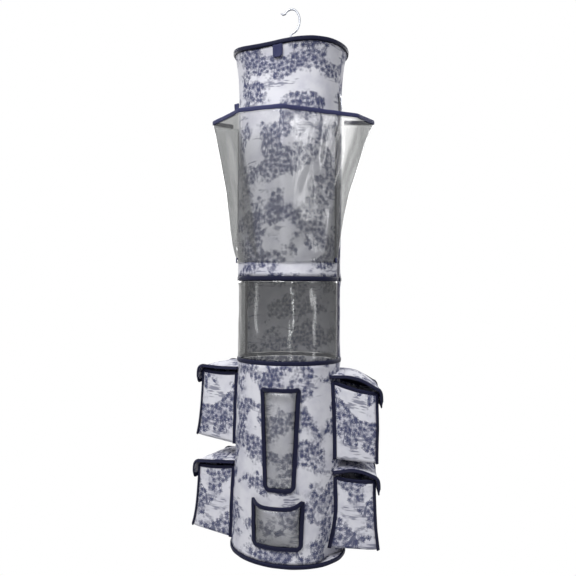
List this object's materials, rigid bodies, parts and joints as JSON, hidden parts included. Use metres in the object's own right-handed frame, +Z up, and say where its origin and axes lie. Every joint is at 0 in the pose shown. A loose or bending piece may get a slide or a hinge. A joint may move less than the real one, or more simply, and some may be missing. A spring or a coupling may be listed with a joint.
{
  "type": "hanging gift wrap organizer",
  "caption": "Hanging fabric tube for rolls of gift wrap, with a swivelling wire hook, a side zipper, a clear window, clear front pockets and flapped side pockets.",
  "frame": {"origin": "the hook's seat: the inside of the top of the hook, where a rod carries it", "axes": "+Z up along the tube, -Y towards the front with the clear pockets, +X to the right seen from the front"},
  "size_m": [0.3346, 0.2493, 0.9413],
  "materials": {
    "toile_fabric": "woven, printed",
    "navy_binding": "satin folded tape",
    "slate_binding": "satin folded tape",
    "clear_vinyl": "clear, glossy",
    "chrome": "plated wire",
    "grey_board": "stiff board",
    "zipper_tape": "woven tape",
    "zipper_teeth": "coil teeth"
  },
  "bodies": {
    "hook": {"hook_wire": "chrome", "hook_nut": "chrome"},
    "zipper_runner": {"zipper_slider": "chrome"},
    "zipper_tab": {"zipper_pull": "chrome"},
    "left_upper_lid": {"left_upper_flap": "toile_fabric", "left_upper_flap_trim": "navy_binding"},
    "left_lower_lid": {"left_lower_flap": "toile_fabric", "left_lower_flap_trim": "navy_binding"},
    "right_upper_lid": {"right_upper_flap": "toile_fabric", "right_upper_flap_trim": "navy_binding"},
    "right_lower_lid": {"right_lower_flap": "toile_fabric", "right_lower_flap_trim": "navy_binding"},
    "organizer": {"bottom_binding": "navy_binding", "bottom_board": "grey_board", "bottom_cover": "toile_fabric", "clear_pocket": "clear_vinyl", "clear_pocket_left_seam": "navy_binding", "clear_pocket_right_seam": "navy_binding", "clear_pocket_rim": "slate_binding", "clear_pocket_tab": "slate_binding", "left_lower_base": "toile_fabric", "left_lower_flap_root": "toile_fabric", "left_lower_pocket": "toile_fabric", "left_lower_trim": "navy_binding", "left_upper_base": "toile_fabric", "left_upper_flap_root": "toile_fabric", "left_upper_pocket": "toile_fabric", "left_upper_trim": "navy_binding", "lower_wall": "toile_fabric", "rear_panel": "toile_fabric", "right_lower_base": "toile_fabric", "right_lower_flap_root": "toile_fabric", "right_lower_pocket": "toile_fabric", "right_lower_trim": "navy_binding", "right_upper_base": "toile_fabric", "right_upper_flap_root": "toile_fabric", "right_upper_pocket": "toile_fabric", "right_upper_trim": "navy_binding", "scissors_pocket": "clear_vinyl", "scissors_pocket_trim": "navy_binding", "tape_pocket": "clear_vinyl", "tape_pocket_trim": "navy_binding", "top_binding": "navy_binding", "top_board": "grey_board", "top_cover": "toile_fabric", "top_grommet": "chrome", "top_tab": "slate_binding", "top_washer": "chrome", "upper_wall": "toile_fabric", "window": "clear_vinyl", "window_bottom_binding": "navy_binding", "window_seam": "navy_binding", "window_top_binding": "navy_binding", "zipper_bottom_stop": "chrome", "zipper_front_tape": "zipper_tape", "zipper_rear_tape": "zipper_tape", "zipper_teeth": "zipper_teeth", "zipper_top_stop": "chrome"}
  },
  "joints": [
    {"name": "hook_swivel", "type": "hinge", "parent": "hook", "child": "organizer", "pos_m": [0, 0, -0.074], "axis": [0, 0, 1], "continuous": true},
    {"name": "zipper_slide", "type": "slide", "parent": "organizer", "child": "zipper_runner", "axis": [0, 0, -1], "range_m": [0, 0.43]},
    {"name": "pull_hinge", "type": "hinge", "parent": "zipper_runner", "child": "zipper_tab", "pos_m": [0.09043, -0.02255, -0.16145], "axis": [-0.2419, -0.9703, 0], "range_deg": [0, 110]},
    {"name": "left_upper_lid_fold", "type": "hinge", "parent": "organizer", "child": "left_upper_lid", "pos_m": [-0.09152, 0.02452, -0.61388], "axis": [0.2588, 0.9659, 0], "range_deg": [0, 90]},
    {"name": "left_lower_lid_fold", "type": "hinge", "parent": "organizer", "child": "left_lower_lid", "pos_m": [-0.09571, 0.02564, -0.77486], "axis": [0.2588, 0.9659, 0], "range_deg": [0, 24]},
    {"name": "right_upper_lid_fold", "type": "hinge", "parent": "organizer", "child": "right_upper_lid", "pos_m": [0.09444, 0.00993, -0.62328], "axis": [0.1045, -0.9945, 0], "range_deg": [0, 90]},
    {"name": "right_lower_lid_fold", "type": "hinge", "parent": "organizer", "child": "right_lower_lid", "pos_m": [0.09873, 0.01038, -0.7817], "axis": [0.1045, -0.9945, 0], "range_deg": [0, 16]}
  ]
}
